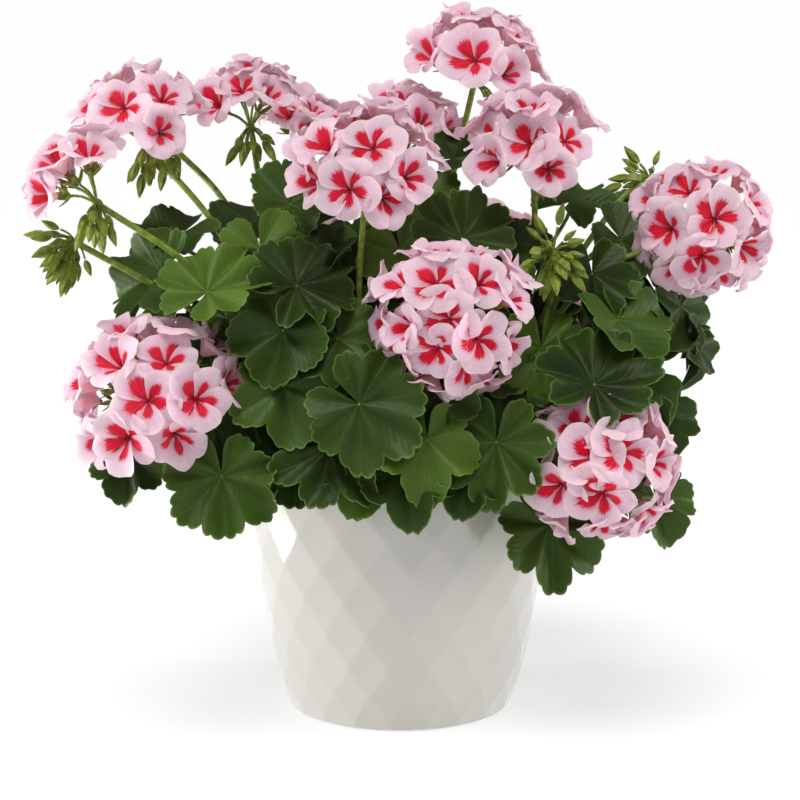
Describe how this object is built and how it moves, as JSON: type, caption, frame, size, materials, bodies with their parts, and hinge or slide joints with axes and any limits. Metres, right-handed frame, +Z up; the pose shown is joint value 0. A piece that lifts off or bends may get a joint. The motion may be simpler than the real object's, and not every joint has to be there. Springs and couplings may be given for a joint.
{
  "type": "potted geranium",
  "caption": "Bushy flowering pot plant with round lobed leaves and two-tone flower heads in a white faceted cover pot.",
  "frame": {"origin": "middle of the pot's flat underside", "axes": "+Z up, -Y towards the front of the plant as pictured, +X to the viewer's right"},
  "size_m": [0.4565, 0.3397, 0.4425],
  "materials": {
    "glaze": "white gloss glaze over pressed diamond facets",
    "soil": "crumbly dark potting soil",
    "leaves": "velvety green leaf with paler veins",
    "stalks": "finely haired light green stalks and buds",
    "petals": "soft pale pink petals with vivid red blotches"
  },
  "bodies": {
    "root": {"pot": "glaze", "soil": "soil", "head_top_petals": "petals", "head_top_stalks": "stalks", "head_top_left_petals": "petals", "head_top_left_stalks": "stalks", "head_far_left_petals": "petals", "head_far_left_stalks": "stalks", "head_left_of_top_petals": "petals", "head_left_of_top_stalks": "stalks", "head_small_back_petals": "petals", "head_small_back_stalks": "stalks", "head_centre_high_petals": "petals", "head_centre_high_stalks": "stalks", "head_behind_centre_petals": "petals", "head_behind_centre_stalks": "stalks", "head_right_of_top_petals": "petals", "head_right_of_top_stalks": "stalks", "head_far_right_petals": "petals", "head_far_right_stalks": "stalks", "head_centre_petals": "petals", "head_centre_stalks": "stalks", "head_low_left_petals": "petals", "head_low_left_stalks": "stalks", "head_low_right_petals": "petals", "head_low_right_stalks": "stalks", "head_back_high_petals": "petals", "head_back_high_stalks": "stalks", "head_back_left_high_petals": "petals", "head_back_left_high_stalks": "stalks", "head_back_low_petals": "petals", "head_back_low_stalks": "stalks", "head_back_right_low_petals": "petals", "head_back_right_low_stalks": "stalks", "buds_left": "stalks", "buds_top_left": "stalks", "buds_right": "stalks", "buds_front_right": "stalks", "shoot_front_left": "leaves", "shoot_front": "leaves", "shoot_front_right": "leaves", "shoot_right": "leaves", "shoot_left": "leaves", "shoot_middle": "leaves", "shoot_back_left": "leaves", "shoot_back": "leaves", "shoot_back_right": "leaves"}
  },
  "joints": []
}
